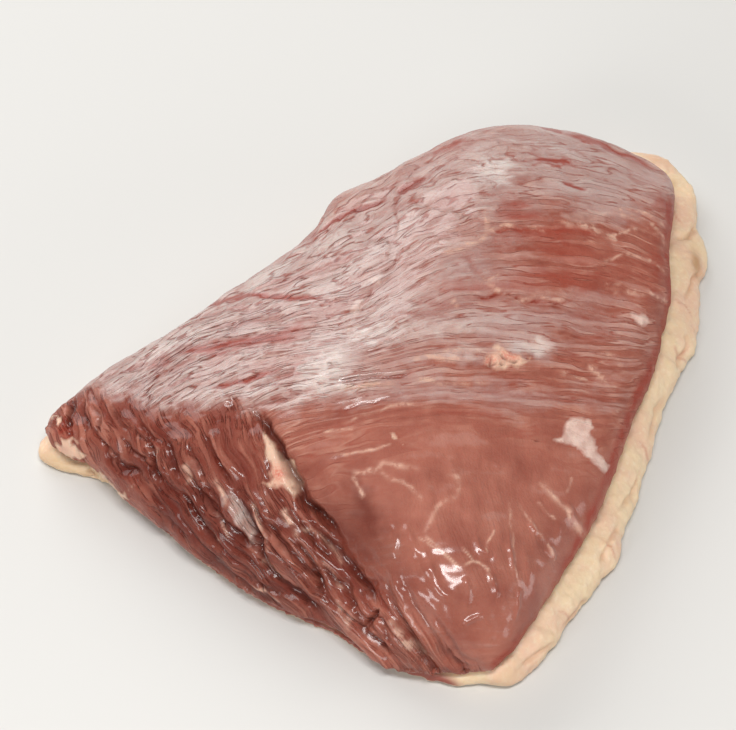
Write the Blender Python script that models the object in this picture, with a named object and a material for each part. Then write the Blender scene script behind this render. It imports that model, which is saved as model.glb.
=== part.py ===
"""A raw picanha, the rump cap of beef, lying on its fat side.

Two pieces: the lean muscle, and the fat cap that it lies on. Metres, +Z up, the table at Z = 0, and the
origin under the middle of the joint. The pointed end is at -X and the thick cut side at +X. The sizes below
are millimetres.
"""

import math

import bmesh
import bpy
import numpy as np
from mathutils import Matrix, Vector

MM = 0.001

# The middle of the joint in plan, towards which every wall leans in
MIDDLE = np.array([15.0, 5.0])

# The muscle's widest line, anticlockwise from the pointed end. Each row holds its place in plan, how far
# in its shoulder lies, the shoulder's height, the height of the widest line and that of the muscle's foot.
POINT, HEEL, THICK_CORNER, BACK_BEND = 0, 12, 24, 32
MUSCLE_EDGE = np.array([
    (-128, -24, 12, 26, 13, 8),
    (-119, -33, 13, 31, 12, 6),
    (-106, -39, 15, 35, 11, 5),
    (-92, -54, 20, 41, 10, 3.5),
    (-79, -66, 27, 46, 10, 2.5),
    (-65, -79, 35, 50, 10, 2.5),
    (-51, -91, 41, 51, 10, 2.5),
    (-38, -98, 38, 50, 10, 2.5),
    (-22, -105, 32, 48, 10, 2.5),
    (-7, -118, 28, 45, 10, 3),
    (6, -125, 24, 42, 10, 4),
    (21, -127, 20, 38, 12, 6),
    (35, -127, 16, 33, 15, 10),
    (44, -118, 14, 32, 16, 13),
    (51, -105, 12, 33, 17, 15),
    (60, -91, 11, 33, 17, 15),
    (72, -72, 10, 34, 17, 15),
    (82, -48, 9, 34, 17, 15),
    (90, -25, 9, 34, 17, 15),
    (98, -6, 9, 35, 17, 15),
    (105, 16, 9, 36, 17, 15),
    (110, 38, 9, 37, 18, 15),
    (112, 62, 9, 37, 18, 15),
    (115, 84, 10, 34, 17, 14),
    (117, 101, 12, 29, 16, 12),
    (106, 114, 15, 29, 16, 12),
    (86, 121, 18, 37, 18, 13),
    (60, 125, 20, 41, 20, 13),
    (36, 122, 22, 42, 20, 13),
    (16, 112, 22, 40, 19, 12),
    (-4, 98, 20, 38, 18, 12),
    (-22, 87, 18, 37, 17, 12),
    (-28, 74, 16, 34, 17, 11),
    (-37, 63, 18, 34, 17, 11),
    (-52, 48, 18, 35, 16, 11),
    (-70, 31, 18, 34, 16, 10),
    (-91, 12, 17, 32, 15, 10),
    (-110, -4, 15, 30, 14, 9),
    (-123, -16, 12, 27, 13, 8),
])
SHOULDER = math.radians(24)  # the wall's round stops this far short of level, and the top goes on from there
TUCK = 0.28  # how far the muscle's foot draws in under its widest line, for each millimetre of height
CROWN = 9.0  # how much the middle of the top stands above a sheet stretched between its shoulders
EASING = 8  # rounds of smoothing that run the top into its shoulders

# The fat cap's own outline in plan, anticlockwise from the pointed end, with the height of its outermost
# line. It stands proud of the muscle along the thick cut side, with notches where the knife slipped, and
# hides under the muscle along the front.
FAT_EDGE = np.array([
    (-129, -30, 3), (-123, -33, 3), (-114, -35, 2), (-104, -39, 2), (-98, -45, 2), (-91, -51, 2),
    (-84, -57, 1), (-76, -66, 1), (-63, -78, 1), (-50, -88, 1), (-36, -97, 1), (-21, -104, 1), (-7, -114, 1),
    (5, -121, 2), (19, -125, 3), (31, -126, 4), (38, -127, 4), (46, -124, 4), (53, -117, 4), (60, -107, 4),
    (69, -93, 4), (79, -79, 4), (85, -74, 4), (84, -67, 4), (90, -52, 4), (97, -31, 4), (108, 1, 4),
    (116, 17, 4), (121, 27, 4), (124, 44, 4), (125, 60, 4), (131, 70, 4), (130, 78, 5), (126, 87, 6),
    (128, 97, 7), (127, 108, 8), (122, 119, 9), (115, 127, 10), (102, 130, 9), (86, 128, 7), (60, 126, 5),
    (34, 122, 5), (13, 111, 5), (-7, 98, 4), (-24, 86, 4), (-37, 65, 4), (-55, 48, 4), (-73, 31, 4),
    (-93, 13, 3), (-112, -2, 3), (-126, -14, 3), (-131, -23, 3),
])
SEAM_MIDDLE = 12.0  # height of the seam between fat and muscle, under the middle
SEAM_SLOPE = 0.028  # the fat cap thins by this much for each millimetre towards the point
SEAM_RIM = 0.25  # the seam's level part ends this share of the way in from the muscle's foot
SEAM_GAP = 0.35
FAT_SLANT = 1.4  # 1 is a rounded edge, 2 a straight slanting cut
FAT_LIP = 0.7  # the outermost line lies no higher than this share of the seam's height
FAT_FOOT = 2.0  # how far the fat's foot draws in under its outermost line
FOOT_ROUND = (0.2, 0.4)  # on the way down to it, a ring this share of the way in, at this share of the height

ALONG, ACROSS = 46, 40  # steps of the top's grid, along the front edge and along the cut side
WALL_STEPS, TUCK_STEPS, FAT_STEPS = 12, 2, 4

# The relief of the side that faces the front is laid out on a picture plane, which leans back so that both
# the top and the front wall show: across is x, and up is y * sin(LEAN) + z * cos(LEAN). The relief fades
# where the surface turns away from it.
LEAN = math.radians(50)
FRONT = Vector((0, -math.cos(LEAN), math.sin(LEAN)))
FADE = 3

# Swellings and hollows: middle across and up, half length, half width, turn in degrees, height
SWELLINGS = [
    (27, -50, 27, 22, -25, 5.0),  # the dome over the heel
    (-9, -42, 20, 8, -60, -3.0),  # the hollow beside it
    (-62, -34, 30, 9, -50, 2.0),  # the roll of the front wall
    (-18, 14, 34, 12, 30, 2.0),  # the ridge across the top
    (30, 62, 40, 14, 65, 2.5),  # the same ridge, towards the back
    (-63, 27, 36, 8, 32, 2.0),  # the slope inside the far shoulder
    (80, 55, 14, 6, 20, 1.5),  # a low wave near the cut side
]

# Creases, each with its half width and the points that it runs through: across, up and how deep it is there
CREASES = [
    # between the front wall and the dome, down to where it opens at the foot
    (8, [(-50, 4, 0), (-44, -6, 4), (-33, -27, 6), (-19, -49, 6), (-10, -62, 5), (-7, -76, 4)]),
    # the folds of the front wall
    (5.5, [(-82, -12, 0), (-75, -23, 3), (-66, -38, 2)]),
    (5.5, [(-70, -14, 0), (-64, -31, 3.5), (-52, -53, 2)]),
    (5.5, [(-56, -18, 0), (-49, -38, 3.5), (-37, -61, 2)]),
    # round the foot of the dome
    (5, [(3, -46, 0), (4, -64, 3.5), (8, -74, 3.5), (12, -81, 3), (21, -86, 3), (31, -88, 0)]),
    # beside the pointed end
    (4, [(-115, 4, 1), (-114, -3, 3), (-113, -10, 2)]),
    # the shallow valley of the top
    (6, [(22, 75, 0), (7, 64, 2), (3, 53, 2), (-1, 42, 2), (-8, 34, 2), (-13, 27, 0)]),
]


def closed_curve(rows, steps=24):
    """A smooth loop through the rows (Catmull-Rom), with this many steps from each row to the next."""
    t = (np.arange(steps) / steps)[:, None]
    loop = []
    for i in range(len(rows)):
        a, b, c, d = (rows[(i + k) % len(rows)] for k in (-1, 0, 1, 2))
        bend, twist = 2 * a - 5 * b + 4 * c - d, 3 * b - a - 3 * c + d
        loop.append(b + 0.5 * ((c - a) * t + bend * t**2 + twist * t**3))
    return np.vstack(loop)


def evenly(path, count):
    """The path's rows at count + 1 places, evenly spaced along its plan."""
    length = np.append(0, np.cumsum(np.linalg.norm(np.diff(path[:, :2], axis=0), axis=1)))
    places = np.linspace(0, length[-1], count + 1)
    return np.stack([np.interp(places, length, column) for column in path.T], axis=1)


def border_stations(steps=24):
    """Rows of the muscle's edge, evenly spaced on each of its four sides, as the grid's border runs."""
    curve = closed_curve(MUSCLE_EDGE, steps)
    curve = np.vstack([curve, curve[:1]])
    corners = [corner * steps for corner in (POINT, HEEL, THICK_CORNER, BACK_BEND, len(MUSCLE_EDGE))]
    counts = (ALONG, ACROSS, ALONG, ACROSS)
    sides = [evenly(curve[a : b + 1], n)[:-1] for a, b, n in zip(corners, corners[1:], counts)]
    return np.vstack(sides)


STATIONS = border_stations()
INWARD = MIDDLE - STATIONS[:, :2]
INWARD /= np.linalg.norm(INWARD, axis=1)[:, None]


def muscle_ring(turn):
    """The muscle's wall at one level, as a ring of points: turn 0 is its shoulder, 1 its belt, 2 its foot."""
    plan, run, rise, belt, foot = STATIONS[:, :2], *STATIONS[:, 2:].T
    if turn <= 1:
        angle = SHOULDER + turn * (math.pi / 2 - SHOULDER)
        inset = run * (1 - math.sin(angle)) / (1 - math.sin(SHOULDER))
        height = belt + (rise - belt) * math.cos(angle) / math.cos(SHOULDER)
    else:
        angle = turn * math.pi / 2
        inset = TUCK * (belt - foot) * (1 - math.sin(angle))
        height = belt + (belt - foot) * math.cos(angle)
    return np.column_stack([plan + INWARD * inset[:, None], height])


def seam_rim():
    """The rim of the seam's level part, as a ring of points. The seam slopes from it to the muscle's foot."""
    foot = muscle_ring(2)[:, :2]
    plan = foot + (MIDDLE - foot) * SEAM_RIM
    return np.column_stack([plan, SEAM_MIDDLE + SEAM_SLOPE * plan[:, 0]])


def fat_outline():
    """At each station, how far the fat cap's edge stands out from the muscle's foot, and its height."""
    edge = closed_curve(FAT_EDGE)
    plan, foot = edge[:, :2] - MIDDLE, muscle_ring(2)[:, :2] - MIDDLE
    bearing, wanted = (np.arctan2(place[:, 1], place[:, 0]) for place in (plan, foot))
    order = np.argsort(bearing)
    distance, height = (
        np.interp(wanted, bearing[order], values[order], period=2 * math.pi)
        for values in (np.linalg.norm(plan, axis=1), edge[:, 2])
    )
    return distance - np.linalg.norm(foot, axis=1), height


def fat_rings():
    """The fat cap's side as a list of rings, from its seam with the muscle down to the table."""
    foot, rim, (reach, lip) = muscle_ring(2), seam_rim(), fat_outline()
    start = np.minimum(0, reach - 1)
    slope = (rim - foot) / np.linalg.norm(rim[:, :2] - foot[:, :2], axis=1)[:, None]
    seam = foot - slope * start[:, None] - (0, 0, SEAM_GAP)
    lip = np.minimum(lip, FAT_LIP * seam[:, 2])
    rings = [seam]
    for step in range(1, FAT_STEPS + 1):
        turn = step / FAT_STEPS * math.pi / 2
        out, up = math.sin(turn) ** FAT_SLANT, math.cos(turn) ** FAT_SLANT
        plan = foot[:, :2] - INWARD * (start + (reach - start) * out)[:, None]
        rings.append(np.column_stack([plan, lip + (seam[:, 2] - lip) * up]))
    edge = rings[-1][:, :2]
    rings.append(np.column_stack([edge + INWARD * FAT_FOOT * FOOT_ROUND[0], lip * FOOT_ROUND[1]]))
    rings.append(np.column_stack([edge + INWARD * FAT_FOOT, lip * 0]))
    return rings


def top_sheet(u, v):
    """Points of the muscle's top: a sheet stretched between its four shoulders, with the crown on it."""
    ring = muscle_ring(0)
    ring = np.vstack([ring, ring[:1]])
    ends = np.cumsum([0, ALONG, ACROSS, ALONG, ACROSS])
    front, cut, far, left = (ring[a : b + 1] for a, b in zip(ends, ends[1:]))
    far, left = far[::-1], left[::-1]

    def at(side, places):
        shares = np.linspace(0, 1, len(side))
        return np.stack([np.interp(places, shares, column) for column in side.T], axis=1)

    sheet = at(front, u) * (1 - v)[:, None] + at(far, u) * v[:, None]
    sheet += at(left, v) * (1 - u)[:, None] + at(cut, v) * u[:, None]
    sheet -= front[0] * ((1 - u) * (1 - v))[:, None] + front[-1] * (u * (1 - v))[:, None]
    sheet -= far[0] * ((1 - u) * v)[:, None] + far[-1] * (u * v)[:, None]
    sheet[:, 2] += CROWN * (4 * u * (1 - u)) * (4 * v * (1 - v))
    return sheet


def crease_depth(points, wide, line):
    """How deep a crease is at each point. It runs straight from one of its corners to the next."""
    deepest = np.zeros(len(points))
    for a, b in zip(np.array(line, float), np.array(line[1:], float)):
        step = (b - a)[:2]
        along = np.clip((points - a[:2]) @ step / (step @ step), 0, 1)
        distance = np.linalg.norm(points - a[:2] - along[:, None] * step, axis=1)
        deepest = np.maximum(deepest, (a[2] + along * (b[2] - a[2])) * np.exp(-((distance / wide) ** 2)))
    return deepest


def relief(points):
    """The relief's height at these places of the picture plane: the swellings, less what the creases take."""
    height = np.zeros(len(points))
    for across, up, long, wide, turn, rise in SWELLINGS:
        c, s = math.cos(math.radians(turn)), math.sin(math.radians(turn))
        x, y = points[:, 0] - across, points[:, 1] - up
        height += rise * np.exp(-(((x * c + y * s) / long) ** 2) - ((y * c - x * s) / wide) ** 2)
    for wide, line in CREASES:
        height -= crease_depth(points, wide, line)
    return height


def press_relief(bm):
    """Moves the surface that faces the front in and out, square to itself."""
    bm.normal_update()
    verts = [vert for vert in bm.verts if vert.normal.dot(FRONT) > 0]
    places = np.array([vert.co for vert in verts])
    up = places[:, 1] * math.sin(LEAN) + places[:, 2] * math.cos(LEAN)
    for vert, move in zip(verts, relief(np.column_stack([places[:, 0], up]))):
        vert.co += vert.normal * float(move) * min(1, FADE * vert.normal.dot(FRONT))


def set_points(verts, points):
    for vert, point in zip(verts, points):
        vert.co = [float(value) for value in point]


def add_ring(bm, edges, place, points):
    """Extrudes a loop of edges to a new ring of points. place is the layer with each vertex's station."""
    made = bmesh.ops.extrude_edge_only(bm, edges=edges)["geom"]
    verts = [item for item in made if isinstance(item, bmesh.types.BMVert)]
    set_points(verts, points[[vert[place] for vert in verts]])
    return [item for item in made if isinstance(item, bmesh.types.BMEdge)]


def finish(bm, name, colour, roughness):
    """The mesh as a named object, in metres, with its own material."""
    bmesh.ops.recalc_face_normals(bm, faces=bm.faces)
    bmesh.ops.scale(bm, vec=(MM, MM, MM), verts=bm.verts)
    mesh = bpy.data.meshes.new(name)
    bm.to_mesh(mesh)
    bm.free()
    mesh.shade_smooth()
    material = bpy.data.materials.new(name)
    material.use_nodes = True
    surface = material.node_tree.nodes["Principled BSDF"]
    surface.inputs["Base Color"].default_value = (*colour, 1)
    surface.inputs["Roughness"].default_value = roughness
    mesh.materials.append(material)
    piece = bpy.data.objects.new(name, mesh)
    COLLECTION.objects.link(piece)
    return piece


def border_place(a, b):
    """The station of a border vertex of the top's grid, from its column and row."""
    if b == 0:
        return a
    if a == ALONG:
        return ALONG + b
    if b == ACROSS:
        return 2 * ALONG + ACROSS - a
    return (2 * (ALONG + ACROSS) - b) % len(STATIONS)


def make_muscle():
    """The lean: a grid for its top, rings down its wall and under its foot, and a level face on the fat."""
    bm = bmesh.new()
    bmesh.ops.create_grid(bm, x_segments=ALONG, y_segments=ACROSS, size=0.5)
    place = bm.verts.layers.int.new("station")
    verts = list(bm.verts)
    u, v = (np.array([vert.co[axis] + 0.5 for vert in verts]) for axis in (0, 1))
    for vert, a, b in zip(verts, u, v):
        if vert.is_boundary:
            vert[place] = border_place(round(a * ALONG), round(b * ACROSS))
    set_points(verts, top_sheet(u, v))
    ring = [edge for edge in bm.edges if edge.is_boundary]
    for step in range(1, WALL_STEPS + 1):
        if step == WALL_STEPS // 2:
            eased = list(bm.verts)
        ring = add_ring(bm, ring, place, muscle_ring(step / WALL_STEPS))
    for _ in range(EASING):
        bmesh.ops.smooth_vert(bm, verts=eased, factor=0.5, use_axis_x=True, use_axis_y=True, use_axis_z=True)
    for step in range(1, TUCK_STEPS + 1):
        ring = add_ring(bm, ring, place, muscle_ring(1 + step / TUCK_STEPS))
    ring = add_ring(bm, ring, place, seam_rim())
    bmesh.ops.contextual_create(bm, geom=ring)
    bmesh.ops.recalc_face_normals(bm, faces=bm.faces)
    press_relief(bm)
    return finish(bm, "muscle", (0.35, 0.08, 0.07), 0.4)


def make_fat_cap():
    """The fat cap: its level face under the muscle, the seam's slope, its cut side and its flat underside."""
    bm = bmesh.new()
    bmesh.ops.create_circle(bm, segments=len(STATIONS), radius=1)
    place = bm.verts.layers.int.new("station")
    verts = list(bm.verts)
    turn = 1 if verts[0].co.cross(verts[1].co).z > 0 else -1
    for index, vert in enumerate(verts):
        vert[place] = turn * index % len(STATIONS)
    rim = seam_rim() - (0, 0, SEAM_GAP)
    set_points(verts, rim[[vert[place] for vert in verts]])
    ring = list(bm.edges)
    bmesh.ops.contextual_create(bm, geom=ring)
    for points in fat_rings():
        ring = add_ring(bm, ring, place, points)
    bmesh.ops.contextual_create(bm, geom=ring)
    return finish(bm, "fat_cap", (0.75, 0.62, 0.45), 0.5)


def centre(pieces):
    """Moves the pieces together so that the middle of their box is over the origin."""
    points = np.array([vert.co for piece in pieces for vert in piece.data.vertices])
    middle = (points.min(axis=0) + points.max(axis=0)) / 2
    for piece in pieces:
        piece.data.transform(Matrix.Translation((-middle[0], -middle[1], 0)))


for old in list(bpy.data.objects):
    bpy.data.objects.remove(old)
COLLECTION = bpy.data.collections.new("picanha")
bpy.context.scene.collection.children.link(COLLECTION)
centre([make_muscle(), make_fat_cap()])
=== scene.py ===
"""A raw picanha on a pale floor: its lean muscle with membranes, folds and cuts, and its fat cap."""

import itertools
import math

import bmesh
import bpy
import numpy as np
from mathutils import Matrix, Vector


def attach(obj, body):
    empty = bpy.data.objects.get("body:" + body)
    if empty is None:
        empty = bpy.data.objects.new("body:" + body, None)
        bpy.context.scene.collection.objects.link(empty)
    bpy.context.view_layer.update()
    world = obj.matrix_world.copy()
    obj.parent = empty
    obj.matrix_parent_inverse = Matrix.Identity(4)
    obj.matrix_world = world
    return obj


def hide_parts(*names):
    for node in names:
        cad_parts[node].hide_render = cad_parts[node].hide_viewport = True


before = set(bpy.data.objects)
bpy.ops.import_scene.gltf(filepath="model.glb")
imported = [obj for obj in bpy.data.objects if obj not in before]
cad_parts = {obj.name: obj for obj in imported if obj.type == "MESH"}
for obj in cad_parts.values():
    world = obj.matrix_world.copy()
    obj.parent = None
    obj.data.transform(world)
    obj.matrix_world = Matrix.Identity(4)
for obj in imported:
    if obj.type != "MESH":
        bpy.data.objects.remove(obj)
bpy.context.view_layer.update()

# The camera stands in front of the joint and looks down on it at the photograph's angle. Places that are
# read from the photograph are given in its own pixels, 736 by 730, and seen_at says where it shows a point.
MM = 0.001
PHOTO_WIDTH, PHOTO_HEIGHT = 736, 730
PITCH = math.radians(50)
DISTANCE = 0.80
TARGET = np.array([-0.007, 0.002, 0.020])
PIXEL = 0.375 * MM  # what one pixel spans at the target
SENSOR = 36  # millimetres, as Blender takes it
FORWARD = np.array([0, math.cos(PITCH), -math.sin(PITCH)])
UPWARD = np.array([0, math.sin(PITCH), math.cos(PITCH)])
EYE = TARGET - DISTANCE * FORWARD

camera = bpy.data.objects.new("camera", bpy.data.cameras.new("camera"))
camera.data.sensor_width = SENSOR
camera.data.lens = DISTANCE / PIXEL * SENSOR / PHOTO_WIDTH
camera.location = EYE
camera.rotation_euler = (math.pi / 2 - PITCH, 0, 0)
bpy.context.scene.collection.objects.link(camera)
bpy.context.scene.camera = camera


def seen_at(points):
    """Where the photograph shows these points, in its pixels."""
    away = points - EYE
    depth = away @ FORWARD
    across = PHOTO_WIDTH / 2 + DISTANCE / PIXEL * away[:, 0] / depth
    down = PHOTO_HEIGHT / 2 - DISTANCE / PIXEL * (away @ UPWARD) / depth
    return np.column_stack([across, down])


# The lean is one muscle, the cap of the rump. Its skin is a thin wet film of membrane over bundles of fibre,
# trimmed off with a knife in places, and it folds and tears where the muscle was pulled from its neighbours.
VOXEL = 2.95 * MM
WELD = 0.01 * MM
FLAT = 0.7  # radians between two triangles that still join into one face
FACET_ROUNDING = 2
EASE_ROUNDS = 2


def ease(mesh):
    """Moves each point of a mesh halfway to the middle of its neighbours."""
    bmesh.ops.smooth_vert(
        mesh, verts=mesh.verts, factor=0.5, use_axis_x=True, use_axis_y=True, use_axis_z=True,
    )


def refined(node, voxel, name, rules):
    """A copy of a node's solid with its facets rounded off, and its skin finer where each rule says."""
    mesh = bmesh.new()
    mesh.from_mesh(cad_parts[node].data)
    bmesh.ops.remove_doubles(mesh, verts=mesh.verts, dist=WELD)
    bmesh.ops.join_triangles(
        mesh, faces=mesh.faces, angle_face_threshold=FLAT, angle_shape_threshold=FLAT, cmp_seam=False,
        cmp_sharp=False, cmp_uvs=False, cmp_vcols=False, cmp_materials=False,
    )
    faceted = bpy.data.meshes.new(name + "_cage")
    mesh.to_mesh(faceted)
    mesh.free()
    cage = bpy.data.objects.new(name + "_cage", faceted)
    bpy.context.scene.collection.objects.link(cage)
    rounding = cage.modifiers.new("rounding", "SUBSURF")
    rounding.levels = rounding.render_levels = FACET_ROUNDING
    skin = cage.modifiers.new("skin", "REMESH")
    skin.mode = "VOXEL"
    skin.voxel_size = voxel
    even = bpy.data.meshes.new_from_object(cage.evaluated_get(bpy.context.evaluated_depsgraph_get()))
    bpy.data.objects.remove(cage)
    bpy.data.meshes.remove(faceted)
    mesh = bmesh.new()
    mesh.from_mesh(even)
    for _ in range(EASE_ROUNDS):
        ease(mesh)
    for rule in rules:
        mesh.normal_update()
        middles = np.array([face.calc_center_median() for face in mesh.faces])
        normals = np.array([face.normal for face in mesh.faces])
        finer = [face for face, chosen in zip(mesh.faces, rule(middles, normals)) if chosen]
        edges = list({edge for face in finer for edge in face.edges})
        bmesh.ops.subdivide_edges(mesh, edges=edges, cuts=1, use_grid_fill=True, smooth=0)
        ease(mesh)
    bmesh.ops.triangulate(mesh, faces=[face for face in mesh.faces if len(face.verts) > 4])
    mesh.to_mesh(even)
    mesh.free()
    even.name = name
    even.shade_smooth()
    piece = bpy.data.objects.new(name, even)
    bpy.context.scene.collection.objects.link(piece)
    return piece


def read_points(piece):
    """The places and the outward directions of a piece's points."""
    places = np.zeros(len(piece.data.vertices) * 3)
    outward = np.zeros(len(piece.data.vertices) * 3)
    piece.data.vertices.foreach_get("co", places)
    piece.data.vertex_normals.foreach_get("vector", outward)
    return places.reshape(-1, 3), outward.reshape(-1, 3)


def turned_to_camera(places, outward, sharpness, start):
    """1 where the skin faces the camera, falling to 0 where it turns away from it."""
    to_eye = (EYE - places) / np.linalg.norm(EYE - places, axis=1)[:, None]
    return np.clip(sharpness * (outward * to_eye).sum(axis=1) + start, 0, 1)


def store(piece, name, values):
    """Keeps a value, or a place, for each of a piece's points, for its material to read."""
    kind, field = ("FLOAT", "value") if values.ndim == 1 else ("FLOAT_VECTOR", "vector")
    layer = piece.data.attributes.new(name, kind, "POINT")
    layer.data.foreach_set(field, values.astype(np.float32).ravel())


# Large odd numbers, which mix a cell's place and the seed into one even spread of values
CELL_MIXERS = (73856093, 19349663, 83492791)
SEED_MIXER, LAST_MIXER = 26544357, 1274126177
LEVELS = 0xFFFF


def noise(places, seed):
    """Smooth noise between -1 and 1, with bumps one unit apart, the same on each run."""
    cell = np.floor(places).astype(np.int64)
    share = places - cell
    share = share * share * (3 - 2 * share)
    total = np.zeros(len(places))
    for corner in itertools.product((0, 1), repeat=3):
        at = cell + corner
        mixed = np.bitwise_xor.reduce(at * CELL_MIXERS, axis=1) ^ seed * SEED_MIXER
        mixed = (mixed ^ (mixed >> 13)) * LAST_MIXER
        level = ((mixed ^ (mixed >> 16)) & LEVELS) / (LEVELS / 2) - 1
        total += level * np.prod(np.where(corner, share, 1 - share), axis=1)
    return total


def drift(mm, size, seed):
    """A smooth shift across and down for each place, with its bumps this many millimetres apart."""
    return np.column_stack([noise(mm / size, seed), noise(mm / size, seed + 1)])


def curved(line, steps=6):
    """More points on a smooth line through the given ones."""
    line = np.array(line, float)
    ends = np.vstack([2 * line[0] - line[1], line, 2 * line[-1] - line[-2]])
    t = (np.arange(steps) / steps)[:, None]
    made = []
    for a, b, c, d in zip(ends, ends[1:], ends[2:], ends[3:]):
        bend, twist = 2 * a - 5 * b + 4 * c - d, 3 * b - a - 3 * c + d
        made.append(b + 0.5 * ((c - a) * t + bend * t**2 + twist * t**3))
    return np.vstack(made + [line[-1:]])


FAR = 1e3  # pixels, more than any mark reaches
REACH = 30  # pixels beside a line within which it is looked for


def from_line(line, places):
    """How far each place is from a line, in pixels, and how far along the line it is, from 0 to 1."""
    line = curved(line)
    nearest = np.full(len(places), FAR)
    share = np.zeros(len(places))
    low, high = line.min(axis=0) - REACH, line.max(axis=0) + REACH
    near = np.flatnonzero(((places > low) & (places < high)).all(axis=1))
    for step, (a, b) in enumerate(zip(line, line[1:])):
        run = np.clip((places[near] - a) @ (b - a) / ((b - a) @ (b - a)), 0, 1)
        distance = np.linalg.norm(places[near] - a - run[:, None] * (b - a), axis=1)
        closer = distance < nearest[near]
        nearest[near[closer]] = distance[closer]
        share[near[closer]] = (step + run[closer]) / (len(line) - 1)
    return nearest, share


def inside(outline, places, soft):
    """1 inside an outline and 0 outside it, with an edge this many pixels soft."""
    outline = np.array(outline, float)
    ring = np.vstack([outline, outline[:1]])
    nearest = np.full(len(places), FAR)
    within = np.zeros(len(places), bool)
    for a, b in zip(ring, ring[1:]):
        run = np.clip((places - a) @ (b - a) / ((b - a) @ (b - a)), 0, 1)
        nearest = np.minimum(nearest, np.linalg.norm(places - a - run[:, None] * (b - a), axis=1))
        crosses = (a[1] > places[:, 1]) != (b[1] > places[:, 1])
        if a[1] != b[1]:
            edge = a[0] + (places[:, 1] - a[1]) / (b[1] - a[1]) * (b[0] - a[0])
            within ^= crosses & (places[:, 0] < edge)
    return np.clip(0.5 + np.where(within, nearest, -nearest) / (2 * soft), 0, 1)


def spot(places, x, y, long, wide, turn=0):
    """A soft oval, 1 in its middle, with half sizes in pixels and its turn in degrees, clockwise."""
    c, s = math.cos(math.radians(turn)), math.sin(math.radians(turn))
    along = (places[:, 0] - x) * c + (places[:, 1] - y) * s
    over = (places[:, 1] - y) * c - (places[:, 0] - x) * s
    return np.exp(-((along / long) ** 2) - (over / wide) ** 2)


def stroke(seen, line, half_width, taper=5):
    """1 on a line of the photograph, falling off this many millimetres beside it and towards its ends."""
    distance, share = from_line(line, seen)
    ends = np.clip(taper * share, 0, 1) * np.clip(taper * (1 - share), 0, 1)
    return ends * np.exp(-((distance * PIXEL / MM / half_width) ** 2))


def spots(seen, rows):
    """Soft ovals together: each has its middle, half sizes, turn and strength."""
    left = np.ones(len(seen))
    for x, y, long, wide, turn, strength in rows:
        left *= 1 - strength * spot(seen, x, y, long, wide, turn)
    return 1 - left


OUTER_STEP = 40  # pixels that make one step above the first line of a row and below the last


def across(seen, stations, lines):
    """How far each place is across a row of lines, in steps from one line to the next."""
    rows = []
    for line in lines:
        smooth = curved(np.column_stack([stations, line]))
        rows.append(np.interp(seen[:, 0], smooth[:, 0], smooth[:, 1]))
    level = np.minimum(seen[:, 1] - rows[0], 0) / OUTER_STEP
    level = level + np.maximum(seen[:, 1] - rows[-1], 0) / OUTER_STEP
    for near, far in zip(rows, rows[1:]):
        level += np.clip((seen[:, 1] - near) / (far - near), 0, 1)
    return level


def wrinkles(places, long, wide, seed, width):
    """1 in thin branching lines and 0 between them, this many millimetres long and apart."""
    return np.exp(-((noise(places / (long, wide, wide), seed) / width) ** 2))


# Where the photograph shows the skin from near, so that its faces are made finer once more
CRISP = [
    (0, 480), (20, 380), (250, 180), (380, 110), (440, 110), (470, 200), (420, 300), (400, 400), (440, 450),
    (560, 450), (610, 520), (500, 720), (300, 720), (150, 600),
]


UNDERSIDE = -0.55  # a face whose normal points down more than this lies on the fat
GRAZING = 0.02  # metres of the sight line that run along a face's normal, or the face is seen too flat


def off_fat(middles, normals):
    """The faces that don't lie on the fat."""
    return normals[:, 2] > UNDERSIDE


def crisp(middles, normals):
    """The faces of the thin side, the wall and the dome that the photograph shows."""
    towards = ((EYE - middles) * normals).sum(axis=1) > GRAZING
    return towards & (normals[:, 2] > UNDERSIDE) & (inside(CRISP, seen_at(middles), 1) > 0.5)


lean = refined("muscle", VOXEL, "lean", [off_fat, crisp])
places, outward = read_points(lean)
mm = places / MM
facing = turned_to_camera(places, outward, 5, 0.7)
hidden = 1 - facing
photo = seen_at(places)

# The lines that the fibres follow over the top, from the far edge to the dome, and the lines that the
# folds follow down the front wall, from the tip to the toe. Each is given where it crosses the stations,
# in pixels, and a step is the real distance from one line to the next, in millimetres.
FIBRE_STATIONS = [40, 120, 200, 280, 360, 440, 520, 600, 680]
FIBRE_LINES = [
    [380, 320, 270, 222, 170, 122, 112, 128, 165],
    [400, 345, 300, 258, 216, 178, 165, 175, 200],
    [420, 372, 325, 296, 266, 225, 212, 218, 250],
    [445, 395, 345, 325, 308, 265, 256, 262, 290],
    [470, 425, 378, 350, 338, 305, 300, 315, 330],
    [500, 455, 408, 375, 360, 345, 346, 352, 358],
    [530, 490, 445, 410, 394, 385, 385, 392, 400],
    [590, 550, 500, 455, 430, 418, 422, 432, 444],
    [680, 640, 600, 560, 540, 530, 530, 540, 555],
]
FIBRE_STEP = 17.0
FOLD_STATIONS = [380, 420, 460, 500, 540, 580, 620, 660, 700]
FOLD_LINES = [
    [40, 52, 75, 100, 130, 160, 190, 225, 260],
    [80, 96, 118, 150, 182, 215, 250, 290, 330],
    [130, 148, 166, 192, 222, 262, 305, 345, 380],
    [180, 196, 212, 234, 262, 300, 340, 380, 410],
    [225, 240, 254, 272, 298, 332, 368, 405, 435],
    [258, 274, 290, 308, 336, 364, 392, 424, 455],
    [320, 332, 342, 356, 376, 396, 416, 442, 470],
    [390, 396, 402, 410, 422, 434, 450, 470, 495],
]
FOLD_STEP = 14.0
FIBRE_RISE, FOLD_DEPTH = 0.35, 0.25  # how fast the pattern changes up the steep sides, and inwards

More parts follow.
